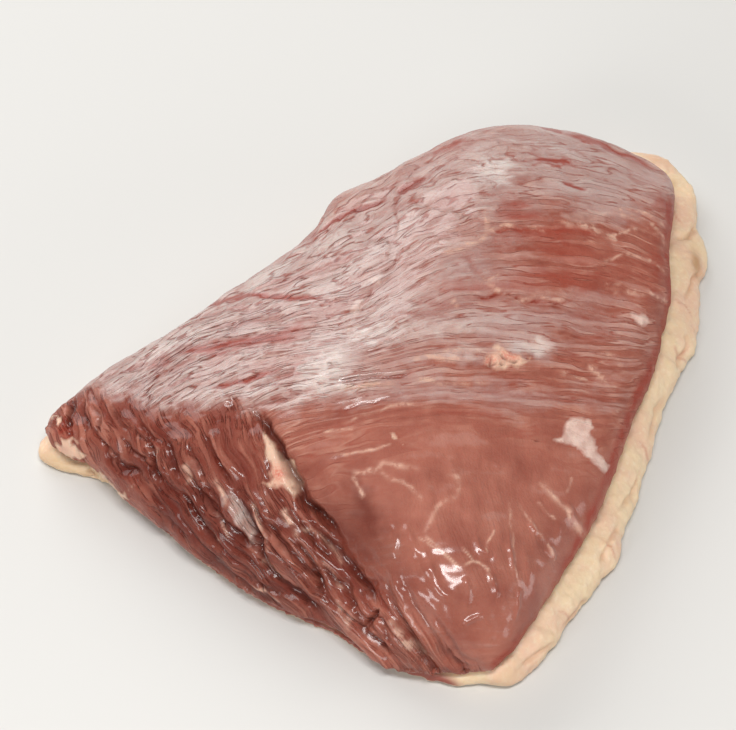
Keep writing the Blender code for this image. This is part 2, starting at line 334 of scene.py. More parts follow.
# Soft ovals here and below: middle, half sizes, turn and strength. The film is loose where these lie.
LOOSE = [
    (170, 350, 150, 60, -32, 1.0), (300, 275, 150, 65, -28, 1.0), (420, 190, 110, 60, -25, 0.8),
    (250, 385, 90, 24, 0, 0.8), (360, 320, 60, 40, -10, 0.5), (352, 388, 40, 16, 0, 0.6),
]
loose = spots(photo, LOOSE)
fibre = np.column_stack([
    photo[:, 0] * PIXEL / MM, FIBRE_STEP * across(photo, FIBRE_STATIONS, FIBRE_LINES), FIBRE_RISE * mm[:, 2],
])
stray = drift(mm, 9, 1) * (3, 1.5) + drift(mm, 3.5, 3) * (1.2, 0.45)
fibre[:, :2] += stray * (0.55 + 0.45 * loose)[:, None]
fold = np.column_stack([
    photo[:, 1] * PIXEL / MM, FOLD_STEP * across(photo[:, ::-1], FOLD_STATIONS, FOLD_LINES),
    FOLD_DEPTH * mm[:, 1],
])
fold[:, :2] += drift(mm, 8, 5) * (2, 1.6)

# The front wall, where the film is off, and the smooth wet dome. Then come the film over the rest, with
# painted sheen where it shines; where it is thick and white, also with painted sheen; where the meat under it
# is redder; and painted shade where it lies in hollows. Their edges are ragged.
WALL = [
    (-20, 380), (60, 388), (73, 392), (91, 389), (110, 392), (126, 391), (146, 402), (163, 409), (174, 414),
    (199, 409), (225, 404), (245, 408), (262, 414), (277, 441), (292, 466), (304, 496), (330, 524),
    (354, 562), (380, 590), (398, 596), (420, 625), (445, 652), (490, 676), (490, 720), (300, 720), (0, 600),
]
WALL_EDGE = 7  # pixels
DOME, BULGE, BULGE_SHARE = (480, 552, 135, 108), (236, 462, 30, 26), 0.8
ragged = photo + drift(mm, 9, 21) * 7 + drift(mm, 2.6, 23) * 6
wall = inside(WALL, ragged, WALL_EDGE) * facing
wet = facing * np.maximum(spot(photo, *DOME), BULGE_SHARE * spot(photo, *BULGE))
# The film's ovals are partly painted sheen, whiter where it shines, and the thin one on the wall is a painted
# glint
FILM_AND_SHEEN_SPOTS = [
    (170, 350, 150, 62, -32, 0.85), (300, 285, 150, 60, -28, 0.85), (430, 200, 110, 75, -25, 0.66),
    (250, 380, 80, 22, 0, 0.6), (330, 372, 50, 30, -20, 0.5), (370, 330, 60, 40, -10, 0.5),
    (560, 150, 90, 35, 8, 0.7), (610, 190, 70, 30, 12, 0.7), (440, 315, 90, 28, 2, 0.55),
    (515, 322, 80, 16, 2, 0.55), (390, 388, 70, 18, -5, 0.5), (475, 392, 60, 12, 0, 0.45),
    (560, 400, 70, 14, -6, 0.3), (600, 300, 60, 16, 4, 0.25), (615, 350, 50, 40, 0, 0.22),
    (232, 430, 24, 9, 10, 0.35), (470, 265, 60, 25, 5, 0.4), (327, 374, 24, 18, -40, 0.9),
    (495, 172, 22, 11, -20, 0.9), (375, 333, 40, 9, -4, 0.8), (530, 346, 26, 9, 5, 1.0),
    (450, 356, 40, 8, 2, 0.7), (242, 519, 22, 5, 58, 1.0), (330, 350, 14, 10, -30, 0.6),
]
RED_SPOTS = [
    (218, 344, 46, 7, -9, 0.75), (288, 331, 34, 8, -10, 0.6), (158, 362, 12, 8, -40, 0.7),
    (450, 145, 20, 9, -30, 0.55), (519, 211, 20, 13, 0, 0.8), (557, 161, 26, 4, 9, 0.8),
    (575, 233, 26, 6, 4, 0.65), (545, 240, 60, 22, 5, 0.35), (662, 212, 9, 26, 0, 0.6),
    (658, 268, 12, 30, 0, 0.35), (545, 277, 60, 8, 3, 0.45), (600, 336, 40, 10, 4, 0.3),
    (480, 284, 70, 9, 2, 0.5), (600, 265, 70, 40, 10, 0.3), (300, 268, 60, 7, -22, 0.3),
    (240, 300, 60, 5, -25, 0.35), (340, 302, 40, 6, -12, 0.4), (410, 240, 30, 8, -15, 0.35),
    (200, 377, 60, 4, -20, 0.3), (290, 372, 22, 4, -22, 0.5), (62, 428, 10, 14, 20, 0.8),
    (520, 385, 60, 9, 3, 0.35), (350, 620, 22, 14, 40, 0.4),
]
# Painted shade: ovals where the wall's hollows, its lower face and the flank beside the dome lie in shade
SHADE_SPOTS = [
    (346, 536, 46, 15, 58, 0.85), (364, 515, 44, 18, 68, 0.95), (143, 470, 20, 12, 15, 0.75),
    (205, 512, 42, 16, 60, 0.95), (240, 545, 40, 9, 45, 0.5), (170, 500, 40, 14, 45, 0.6),
    (170, 455, 8, 22, -25, 0.5), (258, 535, 34, 6, 60, 0.6), (115, 455, 22, 10, 20, 0.4),
    (235, 500, 150, 62, 38, 0.5), (300, 590, 46, 10, 38, 0.4), (390, 560, 20, 12, 70, 0.35),
    (196, 460, 7, 20, -20, 0.35), (225, 560, 110, 12, 36, 0.45), (190, 510, 90, 9, 42, 0.35),
]
# Painted sheen on thick white film, where it shines brightest; the thin one on the wall is a painted glint
THICK_FILM_AND_SHEEN_SPOTS = [
    (320, 375, 30, 14, -38, 0.95), (495, 172, 20, 8, -20, 0.9), (372, 333, 42, 8, -4, 0.55),
    (530, 345, 20, 6, 5, 0.3), (150, 360, 50, 9, -33, 0.55), (210, 372, 60, 5, -12, 0.25),
    (465, 165, 30, 7, -30, 0.2), (241, 518, 22, 3.5, 58, 0.95), (440, 325, 50, 5, 0, 0.3),
    (400, 300, 30, 6, -20, 0.2), (262, 404, 30, 4, -8, 0.3), (215, 392, 60, 9, -6, 0.4),
    (345, 385, 26, 6, -8, 0.5), (300, 262, 80, 6, -28, 0.3),
]
HIDDEN_FILM, HIDDEN_SWING = 0.36, 0.3
film_and_sheen = spots(ragged, FILM_AND_SHEEN_SPOTS) * (1 - wall) * facing
film_and_sheen += hidden * (HIDDEN_FILM + HIDDEN_SWING * noise(mm / 14, 25))
thick = spots(ragged, THICK_FILM_AND_SHEEN_SPOTS) * facing
streaky = np.clip(0.8 + 0.6 * noise(fibre / (20, 2.4, 2.4), 29), 0, 1)
red = spots(ragged, RED_SPOTS) * facing * streaky
hollow_shade = spots(ragged, SHADE_SPOTS) * facing

# What lies on the skin, as the photograph shows it. Creases, furrows, cuts and ridges are given with their
# half width and their depth or height in millimetres, and webs, which are threads of membrane, with their
# half width, each with its line; those along the wall's ridges are painted highlight, where glints lie.
# Patches of white membrane have the softness of their edge in pixels, their strength and their outline, one
# of them a painted glint on the wall, and the lumps of cream fat their softness and outline.
CREASES = [
    (1.7, 4.5, [(247, 408), (260, 417), (277, 443), (289, 463), (297, 483), (307, 501), (330, 524),
        (343, 553)]),
    (1.6, 3.5, [(313, 526), (330, 542), (347, 562), (364, 587), (377, 608)]),
    (0.9, 2.5, [(377, 607), (371, 619), (364, 631)]),
    (1.6, 2.6, [(180, 468), (197, 490), (217, 513), (230, 528), (247, 541), (262, 549)]),
    (1.6, 2.8, [(229, 484), (241, 503), (256, 532), (263, 558), (277, 577), (297, 594), (315, 611),
        (330, 627)]),
    (1.4, 2.2, [(262, 512), (276, 534), (290, 550), (307, 567), (320, 581), (334, 611)]),
    (1.3, 2.0, [(283, 534), (303, 549), (316, 566), (320, 584), (326, 604)]),
    (1.3, 1.8, [(205, 479), (214, 497), (222, 512)]),
    (1.2, 1.8, [(178, 487), (196, 513), (206, 532), (222, 552)]),
    (1.3, 1.6, [(316, 560), (330, 575), (345, 586), (352, 603)]),
    (1.5, 1.8, [(196, 547), (220, 570), (250, 592), (285, 612)]),
    (1.2, 1.4, [(232, 566), (255, 583), (285, 598)]),
    (1.5, 1.0, [(383, 566), (387, 587), (397, 608), (410, 634), (425, 660), (440, 673)]),
    (1.3, 0.8, [(399, 575), (415, 606), (433, 632), (441, 648), (458, 664), (487, 671)]),
    (1.1, 0.6, [(423, 606), (442, 626), (453, 643), (461, 656), (487, 667)]),
    (1.3, 0.9, [(378, 612), (390, 643), (410, 668)]), (1.3, 1.3, [(340, 568), (353, 599), (352, 615)]),
    (1.2, 1.1, [(350, 606), (366, 634), (388, 656)]),
    (1.1, 2.4, [(73, 392), (71, 405), (69, 417), (66, 432)]), (1.0, 1.4, [(93, 404), (99, 421), (96, 436)]),
    (1.0, 1.3, [(112, 404), (118, 420), (126, 432)]), (0.9, 1.4, [(131, 424), (138, 433), (146, 441)]),
    (0.9, 1.2, [(138, 418), (146, 430), (152, 442)]),
    (1.3, 2.4, [(143, 436), (150, 452), (152, 470), (158, 486)]),
    (1.2, 2.0, [(163, 436), (172, 458), (178, 480)]), (1.0, 1.6, [(108, 452), (122, 466), (140, 477)]),
    (0.6, 0.8, [(519, 437), (532, 440), (549, 439)]), (0.5, 1.6, [(485, 352), (492, 359), (487, 368)]),
    (0.5, 1.6, [(499, 353), (507, 360), (519, 361)]),
    (0.5, 1.4, [(477, 361), (486, 364), (499, 362), (510, 366)]),
    (0.8, 1.6, [(84, 396), (82, 410), (86, 424), (84, 436)]),
    (0.9, 1.6, [(120, 440), (132, 452), (146, 460)]), (0.8, 1.4, [(100, 440), (110, 448), (118, 462)]),
    (0.9, 1.5, [(186, 440), (196, 462), (208, 482)]),
    (0.9, 1.5, [(196, 425), (210, 448), (222, 470), (236, 490)]),
    (0.8, 1.2, [(248, 500), (262, 522), (272, 540)]), (0.9, 1.4, [(300, 520), (318, 545), (332, 560)]),
    (0.8, 1.2, [(150, 505), (170, 524), (192, 546)]),
]
FURROWS = [
    (0.6, 0.5, [(397, 196), (395, 208), (398, 222), (394, 236)]),
    (0.6, 0.7, [(404, 240), (398, 256), (392, 266), (380, 274)]),
    (0.6, 0.5, [(372, 288), (366, 298), (358, 312)]),
    (0.7, 0.8, [(330, 383), (365, 379), (404, 376), (410, 366)]),
    (0.9, 0.7, [(232, 410), (256, 405), (284, 398), (318, 386)]),
    (0.7, 0.4, [(457, 254), (470, 262), (481, 276), (497, 290)]),
    (0.8, 0.6, [(120, 372), (140, 366), (160, 356)]), (0.8, 0.7, [(250, 388), (276, 376), (300, 366)]),
    (0.8, 0.7, [(146, 384), (176, 366), (198, 356)]), (0.7, 0.6, [(190, 318), (222, 310), (252, 304)]),
    (0.8, 0.7, [(205, 330), (240, 322), (280, 316), (318, 312)]),
    (0.7, 0.6, [(228, 280), (262, 262), (290, 250)]),
    (0.7, 0.6, [(260, 292), (300, 276), (340, 262), (372, 248)]),
    (0.7, 0.5, [(420, 160), (450, 146), (478, 140)]), (0.6, 0.4, [(470, 244), (520, 238), (570, 243)]),
    (0.6, 0.4, [(480, 252), (530, 248), (590, 255)]), (0.6, 0.4, [(500, 262), (550, 258), (610, 266)]),
    (0.6, 0.4, [(400, 300), (440, 304), (480, 306)]), (0.6, 0.4, [(385, 312), (430, 314), (480, 318)]),
    (0.6, 0.35, [(520, 310), (570, 316), (620, 322)]), (0.6, 0.35, [(540, 372), (590, 378), (630, 384)]),
    (0.6, 0.35, [(420, 398), (480, 394), (540, 396), (600, 404)]),
    (0.6, 0.35, [(400, 414), (460, 412), (520, 418)]), (0.6, 0.35, [(340, 412), (370, 402), (410, 394)]),
]
CUTS = [
    (1.3, 1.0, [(394, 195), (403, 189), (413, 183), (428, 175)]),
    (1.0, 1.0, [(296, 243), (330, 224), (350, 213), (372, 203), (393, 196)]),
    (1.0, 0.5, [(552, 130), (588, 139), (612, 149), (634, 158), (660, 173)]),
    (0.9, 0.6, [(538, 125), (552, 128), (566, 133)]), (0.9, 0.6, [(532, 157), (550, 159), (578, 165)]),
    (0.8, 0.6, [(486, 231), (520, 228), (558, 232)]),
    (0.7, 1.0, [(453, 297), (484, 295), (507, 293), (523, 300), (552, 302), (590, 298)]),
    (1.8, 0.6, [(165, 352), (200, 348), (230, 343), (262, 338), (318, 328)]),
    (0.9, 0.7, [(194, 307), (225, 300), (257, 294), (300, 297), (341, 300)]),
    (0.9, 0.6, [(205, 390), (232, 383), (250, 377), (280, 369)]),
    (0.8, 0.5, [(560, 181), (574, 186), (590, 189)]),
]
RIDGES = [
    (1.6, 1.3, [(234, 492), (245, 508), (256, 525), (266, 545), (283, 568)]),
    (2.2, 1.4, [(222, 492), (234, 511), (246, 531), (257, 546)]),
    (1.8, 1.2, [(297, 511), (318, 528), (338, 549), (347, 567)]),
    (1.4, 1.2, [(153, 450), (160, 463), (166, 478)]),
    (1.5, 1.0, [(270, 540), (288, 560), (306, 583), (320, 600)]),
    (1.2, 0.8, [(184, 478), (193, 496), (206, 514)]),
    (1.6, 0.9, [(392, 562), (398, 592), (410, 616), (428, 643), (447, 658)]),
    (1.5, 0.9, [(372, 616), (384, 640), (405, 664)]), (1.4, 0.8, [(340, 590), (356, 620), (376, 645)]),
    (1.1, 0.8, [(393, 522), (396, 540), (394, 560)]), (1.1, 0.8, [(406, 524), (412, 540), (417, 558)]),
    (2.4, 1.2, [(423, 560), (432, 577), (441, 593), (459, 601)]),
    (1.2, 0.9, [(474, 536), (480, 548), (491, 557)]), (0.8, 0.9, [(505, 521), (511, 556), (516, 578)]),
    (0.9, 0.8, [(491, 573), (494, 585), (496, 598)]), (0.9, 0.8, [(530, 523), (535, 530), (539, 536)]),
    (1.0, 0.8, [(549, 545), (553, 552), (556, 560)]), (1.2, 0.9, [(462, 624), (472, 620), (484, 616)]),
    (1.0, 0.8, [(464, 577), (468, 590), (470, 606)]), (0.8, 0.8, [(519, 588), (517, 604), (513, 622)]),
    (0.7, 0.5, [(437, 455), (446, 463), (455, 470)]), (0.6, 0.5, [(484, 461), (494, 463), (503, 466)]),
    (0.7, 0.5, [(566, 500), (575, 516), (584, 533)]),
]
WEBS_AND_GLINTS = [
    (0.9, [(483, 207), (487, 228), (480, 240), (462, 247), (440, 256)]),
    (0.7, [(485, 230), (514, 226), (558, 229)]),
    (0.8, [(560, 222), (575, 225), (590, 227), (604, 234), (617, 243)]),
    (0.5, [(610, 212), (632, 217), (652, 226), (668, 241)]),
    (0.6, [(343, 422), (360, 416), (376, 411), (397, 404), (439, 407)]),
    (0.5, [(322, 433), (340, 430), (358, 428)]), (0.5, [(334, 455), (369, 450), (394, 446)]),
    (0.9, [(351, 470), (362, 473), (379, 468), (384, 462), (398, 466), (420, 470)]),
    (0.7, [(380, 466), (388, 477), (404, 483), (416, 492), (424, 501)]),
    (0.8, [(447, 474), (457, 478), (460, 486), (456, 497), (440, 503), (431, 520), (424, 534)]),
    (0.6, [(424, 536), (436, 546), (449, 558)]), (0.4, [(510, 500), (512, 530), (515, 560), (518, 585)]),
    (0.4, [(493, 528), (489, 540), (486, 554)]), (0.4, [(462, 546), (470, 556), (478, 566)]),
    (0.5, [(547, 540), (552, 552), (556, 562)]), (0.4, [(570, 476), (569, 484), (567, 492)]),
    # The webs on the wall, along its ridges, are painted highlight: pale strokes where glints lie
    (0.6, [(248, 500), (256, 515), (264, 535), (272, 552)]),
    (0.6, [(300, 526), (318, 536), (332, 548), (342, 566)]), (0.4, [(200, 517), (211, 530), (223, 543)]),
    (0.4, [(214, 512), (222, 524), (230, 540)]), (0.4, [(322, 560), (334, 576), (342, 590)]),
    (0.6, [(478, 272), (486, 282), (498, 290), (512, 296)]),
    (0.4, [(600, 214), (625, 210), (650, 216), (668, 228)]),
    (0.4, [(605, 238), (632, 230), (655, 234), (670, 246)]),
    (0.4, [(600, 262), (630, 254), (655, 262), (670, 276)]),
    (0.4, [(612, 296), (636, 290), (656, 296), (670, 304)]), (0.4, [(480, 286), (490, 280), (500, 274)]),
    (0.5, [(453, 297), (456, 304), (460, 310)]), (0.7, [(584, 364), (596, 372), (606, 382), (618, 388)]),
    (0.5, [(560, 372), (572, 378), (590, 380)]), (0.6, [(462, 568), (474, 562), (487, 570), (491, 582)]),
    (1.2, [(537, 482), (546, 488), (558, 500), (568, 512), (577, 525), (586, 537)]),
    (0.4, [(537, 502), (547, 511), (557, 521)]), (0.4, [(519, 500), (530, 520), (545, 541)]),
    (0.5, [(417, 537), (447, 557), (460, 570)]), (0.6, [(411, 378), (430, 382), (457, 385), (495, 382)]),
    (0.8, [(331, 392), (360, 386), (395, 385)]), (0.5, [(596, 352), (612, 357), (622, 368)]),
    (0.4, [(600, 290), (620, 292), (645, 297)]), (0.5, [(240, 584), (262, 592), (282, 604)]),
    (0.6, [(185, 551), (198, 563), (212, 574)]), (1.0, [(152, 446), (156, 456), (160, 466)]),
    (1.0, [(411, 361), (430, 358), (452, 360), (476, 361)]), (0.8, [(440, 354), (460, 350), (484, 350)]),
    (0.8, [(506, 300), (523, 299), (540, 296), (552, 298), (566, 299)]),
    (1.0, [(538, 296), (546, 294), (552, 297)]), (0.8, [(560, 223), (575, 226), (590, 228)]),
    (0.9, [(590, 229), (603, 234), (614, 237)]), (0.8, [(612, 234), (616, 243)]),
    (0.7, [(345, 331), (352, 328), (360, 326)]), (0.5, [(604, 284), (612, 283), (620, 285)]),
    (0.8, [(284, 474), (294, 486), (296, 499)]), (0.6, [(352, 474), (358, 488), (364, 498)]),
    (0.7, [(366, 470), (376, 468), (384, 464)]), (0.9, [(182, 464), (187, 476), (190, 486)]),
    (0.7, [(213, 478), (222, 492), (232, 508)]), (0.8, [(260, 560), (272, 568), (286, 584)]),
    (0.9, [(405, 640), (420, 650), (436, 664)]), (1.4, [(390, 620), (401, 638), (412, 652)]),
    (1.1, [(282, 508), (290, 522), (300, 538)]), (1.2, [(334, 600), (344, 614), (352, 630)]),
]
PATCHES_AND_GLINT = [
    (1.6, 0.95, [(565, 420), (582, 417), (592, 421), (595, 431), (588, 436), (590, 445), (600, 455),
        (612, 465), (609, 472), (594, 466), (580, 451), (568, 443), (552, 440), (564, 434)]),
    (3, 0.9, [(630, 314), (645, 313), (652, 320), (646, 324), (634, 321)]),
    (5, 0.5, [(518, 344), (530, 335), (546, 336), (557, 342), (559, 350), (546, 354), (528, 350)]),
    (3, 0.45, [(562, 216), (574, 209), (590, 208), (607, 211), (604, 221), (592, 226), (574, 224),
        (564, 221)]),
    # A painted highlight: the white streak of a glint along a fold of the wall
    (2.2, 0.52, [(228, 497), (236, 499), (247, 518), (256, 545), (250, 547), (240, 530), (231, 513)]),
    (2.5, 0.6, [(368, 280), (376, 276), (384, 277), (382, 283), (372, 287)]),
    (2.5, 0.6, [(350, 304), (358, 299), (364, 303), (360, 311), (354, 316), (349, 312)]),
    (4, 0.4, [(440, 356), (458, 347), (486, 346), (506, 340), (520, 346), (508, 352), (482, 355),
        (470, 362)]),
]
CREAM = [
    (3, [(263, 431), (270, 436), (280, 450), (290, 466), (296, 480), (293, 497), (285, 494), (276, 487),
        (266, 484), (270, 474), (272, 464), (264, 448)]),
    (3, [(478, 358), (490, 351), (506, 349), (520, 352), (528, 358), (520, 366), (504, 367), (488, 369),
        (480, 364)]),
    (2, [(396, 434), (403, 436), (402, 440), (396, 439)]),
    (2, [(92, 473), (100, 470), (111, 474), (113, 481), (104, 483), (95, 480)]),
    (2, [(110, 485), (118, 484), (127, 493), (129, 502), (120, 500), (112, 493)]),
    (2, [(54, 446), (60, 440), (68, 438), (78, 443), (84, 451), (78, 458), (66, 460), (56, 455)]),
    (1.5, [(50, 420), (54, 414), (58, 418), (56, 427), (51, 428)]),
]
SEAM = [
    (672, 184), (673, 240), (674, 300), (668, 335), (655, 372), (638, 407), (625, 441), (613, 476),
    (600, 507), (583, 547), (559, 592), (538, 625), (510, 658), (494, 674),
]
CORAL_SPOTS = [
    (487, 361, 10, 8, 0, 1), (511, 355, 12, 7, 0, 1), (545, 297, 12, 3, 0, 0.6), (278, 490, 6, 8, 40, 0.5),
    (278, 474, 9, 8, 40, 1), (62, 450, 7, 5, 0, 0.35),
]

# How much painted shade a crease takes at its faintest and how much more for each millimetre of depth, how
# red a cut is and how much painted shade it takes, and how ragged a patch is. The seam is where the lean
# meets the cut fat, and the flank is the duller strip along it: their line is moved by this many pixels, and
# they hardly taper.
CREASE_SHADE_FAINTEST, CREASE_SHADE_PER_MM, CUT_RED, CUT_SHADE, PATCH_RAGGED = 0.35, 0.3, 0.95, 0.5, 0.5
WEB_TAPER, SEAM_TAPER, SEAM_OFFSET = 8, 30, (4, 2)
SEAM_HALF_WIDTH, FLANK_HALF_WIDTH = 2.2, 5
near_lines = photo + drift(mm, 5, 11) * 2 + drift(mm, 1.8, 13) * 0.8
relief = np.zeros(len(mm))
crease = furrow = web_and_glint = patch_and_glint = cream = np.zeros(len(mm))
# Creases and cuts take painted shade, darker where they are deeper
for half_width, depth, line in CREASES:
    mark = stroke(near_lines, line, half_width) * facing
    relief -= depth * mark
    crease = np.maximum(crease, mark * min(1, CREASE_SHADE_FAINTEST + CREASE_SHADE_PER_MM * depth))
for half_width, depth, line in FURROWS:
    mark = stroke(near_lines, line, half_width) * facing
    relief -= depth * mark
    furrow = np.maximum(furrow, mark)
for half_width, depth, line in CUTS:
    mark = stroke(near_lines, line, half_width) * facing
    relief -= depth * mark
    red = np.maximum(red, CUT_RED * mark)
    crease = np.maximum(crease, CUT_SHADE * depth * mark)
for half_width, height, line in RIDGES:
    relief += height * stroke(near_lines, line, half_width) * facing
for half_width, line in WEBS_AND_GLINTS:
    web_and_glint = np.maximum(web_and_glint, stroke(near_lines, line, half_width, WEB_TAPER) * facing)
web_and_glint = web_and_glint * np.clip(0.65 + 0.6 * noise(mm / 3, 15), 0, 1)
near_patches = near_lines + PATCH_RAGGED * (ragged - photo)
for soft, strength, outline in PATCHES_AND_GLINT:
    patch_and_glint = np.maximum(patch_and_glint, strength * inside(outline, near_patches, soft) * facing)
near_lumps = near_lines + ragged - photo
for soft, outline in CREAM:
    cream = np.maximum(cream, inside(outline, near_lumps, soft) * facing)
coral = spots(photo, CORAL_SPOTS)
seam = stroke(photo + SEAM_OFFSET, SEAM, SEAM_HALF_WIDTH, SEAM_TAPER)
red = np.maximum(red, (0.7 + 0.4 * noise(mm / 3, 28)) * facing * seam)
flank = stroke(photo + SEAM_OFFSET, SEAM, FLANK_HALF_WIDTH, SEAM_TAPER)

# The skin's own relief. The film wrinkles along the fibres, deeply on the thin side where it is loose, and
# lies in fine lines on the thick side. The bare wall is crumpled in folds, and the dome is nearly smooth.
# No fibre lines are known for the hidden sides, so their wrinkles run round the muscle.
TURN_COS, TURN_SIN = 0.8, 0.6  # of 37 degrees, the way the long hidden side runs
SIDE_RISE, WET_SMOOTHS = 0.8, 0.8
along_side = TURN_COS * mm[:, 0] + TURN_SIN * mm[:, 1]
into_side = TURN_COS * mm[:, 1] - TURN_SIN * mm[:, 0]
side = np.column_stack([along_side + SIDE_RISE * mm[:, 2], mm[:, 2], into_side])
deep = wrinkles(fibre, 14, 3.6, 51, 0.3)
level_lines = wrinkles(fibre, 34, 3.2, 53, 0.3)
folds = wrinkles(fold, 34, 4.6, 57, 0.26)
behind = wrinkles(side, 16, 3.6, 60, 0.3)
top = facing * (1 - wall) * (1 - WET_SMOOTHS * wet)
parts = np.array([top * loose, top * (1 - loose), wall, hidden])
gathers = parts * [deep, level_lines, folds, behind]

# For the loose film, the taut film, the wall and the hidden sides: how much painted shade the wrinkles and
# folds take, how deep they are in millimetres, and how rough the skin is between them
GATHER_SHADE, GATHER_DEPTH = (0.6, 0.35, 0.7, 0.25), (0.65, 0.18, 1.1, 0.4)
ROUGHNESS, FOLD_SHADE = (1.0, 0.35, 0.75, 0.7), 0.4
groove_shade = np.clip(furrow + np.dot(GATHER_SHADE, gathers), 0, 1)
# Painted shade in the valleys between the wall's folds
hollow_shade = np.clip(hollow_shade + FOLD_SHADE * wall * folds, 0, 1) * (1 - cream)
rough = np.clip(np.dot(ROUGHNESS, parts), 0, 1) * (1 - cream)
relief -= np.dot(GATHER_DEPTH, gathers)

# Swellings: where they lie, their height, what they follow, their length and widths in millimetres, and a
# seed. Lumps of cream, patches and threads stand a little proud.
CREAM_RISE, CREAM_LUMPS, PATCH_RISE, WEB_RISE = 0.35, 0.5, 0.2, 0.15
for area, height, course, size, seed in (
    (top, 0.4, fibre, (50, 9, 9), 55), (top * (0.1 + 0.3 * loose), 1, fibre, (8, 2, 2), 61),
    (wall, 1.6, fold, (36, 6, 6), 56), (wall, 0.4, fold, (18, 2.8, 2.8), 66), (wall, 0.14, mm, 2.6, 59),
    (wet, 0.6, fold, (11, 3.6, 3.6), 63), (wet, 0.5, mm, 9, 64), (wet, 0.2, mm, 3.6, 65),
    (1, 0.45, mm, 16, 33), (1, 0.2, mm, 6, 34),
):
    relief += area * height * noise(course / size, seed)
relief += cream * (CREAM_RISE + CREAM_LUMPS * np.abs(noise(mm / 2.2, 35)))
relief += PATCH_RISE * patch_and_glint + WEB_RISE * web_and_glint
lean.data.vertices.foreach_set("co", (places + outward * (relief * MM)[:, None]).ravel())
lean.data.update()
store(lean, "fibre", fibre * MM)
store(lean, "fold", fold * MM)
areas = {
    "wall": wall, "loose": np.clip(loose + hidden, 0, 1), "hidden": hidden, "wet": wet, "film_and_sheen": film_and_sheen,
    "thick": thick, "red": red, "hollow_shade": hollow_shade, "crease": crease, "groove_shade": groove_shade, "web_and_glint": web_and_glint, "patch_and_glint": patch_and_glint,
    "cream": cream, "coral": coral, "rough": rough, "flank": flank,
}
for name, values in areas.items():
    store(lean, name, values)


def linear(code):
    """An sRGB hex colour as linear red, green, blue and alpha."""
    parts = [int(code[i : i + 2], 16) / 255 for i in (1, 3, 5)]
    return [part / 12.92 if part <= 0.04045 else ((part + 0.055) / 1.055) ** 2.4 for part in parts] + [1]


def add(tree, kind, inputs=None, stops=None, **settings):
    """Adds a node with its settings. An input takes a value, a hex colour, or the output it is linked to.

    An input is given by its name, or by its number: a Mix has its share at 0 and what it mixes at 2 and 3,
    or at 6 and 7 for colours, and a Map Range has its value at 0, then the range from and the range to.
    """
    made = tree.nodes.new(kind)
    for name, value in settings.items():
        setattr(made, name, value)
    for name, value in (inputs or {}).items():
        if isinstance(value, bpy.types.NodeSocket):
            tree.links.new(value, made.inputs[name])
        else:
            made.inputs[name].default_value = linear(value) if isinstance(value, str) else value
    if stops:
        for element, (place, colour) in zip(made.color_ramp.elements, stops):
            element.position, element.color = place, linear(colour)
    return made


def new_material(name):
    """A material with nothing in it yet."""
    material = bpy.data.materials.new(name)
    material.use_nodes = True
    material.node_tree.nodes.clear()
    return material


def finish_piece(piece, material, inputs):
    """Gives a piece its material, whose surface has these inputs."""
    surface = add(material.node_tree, "ShaderNodeBsdfPrincipled", inputs)
    add(material.node_tree, "ShaderNodeOutputMaterial", {"Surface": surface.outputs[0]})
    piece.data.materials.clear()
    piece.data.materials.append(material)


# Raw beef, cut and pulled apart, under a wet film. The juice on it is a thin clear coat and has most of the
# shine, the body is soft and a little see-through. The film is greyish and wrinkles in thin red lines. The
# colour
# also holds painted light: shade in creases, grooves, lines and hollows, highlight on crests, lips and
# glints, and sheen on the film.
LEAN_DARK, LEAN_LIGHT = "#7A3A2E", "#B67764"
FILM_AND_SHEEN_COLOUR, THICK_FILM_AND_SHEEN_COLOUR = "#C0ADA6", "#E2D8D0"
GROOVE_SHADE_COLOUR, RED_COLOUR, SHADE_COLOUR, CREASE_SHADE_COLOUR = "#8A382A", "#933626", "#561A10", "#4E1A12"
WALL_COLOUR, WEB_AND_HIGHLIGHT_COLOUR, PATCH_AND_GLINT_COLOUR = "#94503F", "#D2A792", "#E6CCBE"
CREAM_COLOUR, CORAL_COLOUR = "#DDBBA2", "#D07A66"
BLOTCH, MOTTLE, SPECK = 13 * MM, 4 * MM, 0.8 * MM
SKIN_BUMP, DEPTH_OF_LIGHT, LINE_SHADE = 1.6 * MM, 2 * MM, 0.7
beef = new_material("raw_beef")
tree = beef.node_tree
marks = {}
for name in areas:
    marks[name] = add(tree, "ShaderNodeAttribute", attribute_name=name).outputs["Fac"]
along_fibre = add(tree, "ShaderNodeAttribute", attribute_name="fibre").outputs["Vector"]
along_fold = add(tree, "ShaderNodeAttribute", attribute_name="fold").outputs["Vector"]
object_place = add(tree, "ShaderNodeTexCoord").outputs["Object"]

# The grain that is drawn out along the fibres or the folds, with its length and width in millimetres and
# its detail, and then the grain that runs no way
grain = {}
for name, course, long, wide, detail in (
    ("fibres", along_fibre, 4, 1.0, 2), ("wrinkles", along_fibre, 13, 2.3, 1.2),
    ("threads", along_fibre, 38, 2.2, 1.5), ("streaks", along_fibre, 28, 7, 3),
    ("folds", along_fold, 24, 1.9, 2.5),
):
    scale = (1 / (long * MM), 1 / (wide * MM), 0.5 / (wide * MM))
    drawn = add(tree, "ShaderNodeMapping", {"Vector": course, "Scale": scale}).outputs[0]
    grain[name] = add(
        tree, "ShaderNodeTexNoise", {"Vector": drawn, "Scale": 1, "Detail": detail, "Roughness": 0.5},
    ).outputs["Fac"]
for name, size in (("blotches", BLOTCH), ("mottle", MOTTLE), ("specks", SPECK)):
    grain[name] = add(
        tree, "ShaderNodeTexNoise", {"Vector": object_place, "Scale": 1 / size, "Detail": 4},
    ).outputs["Fac"]

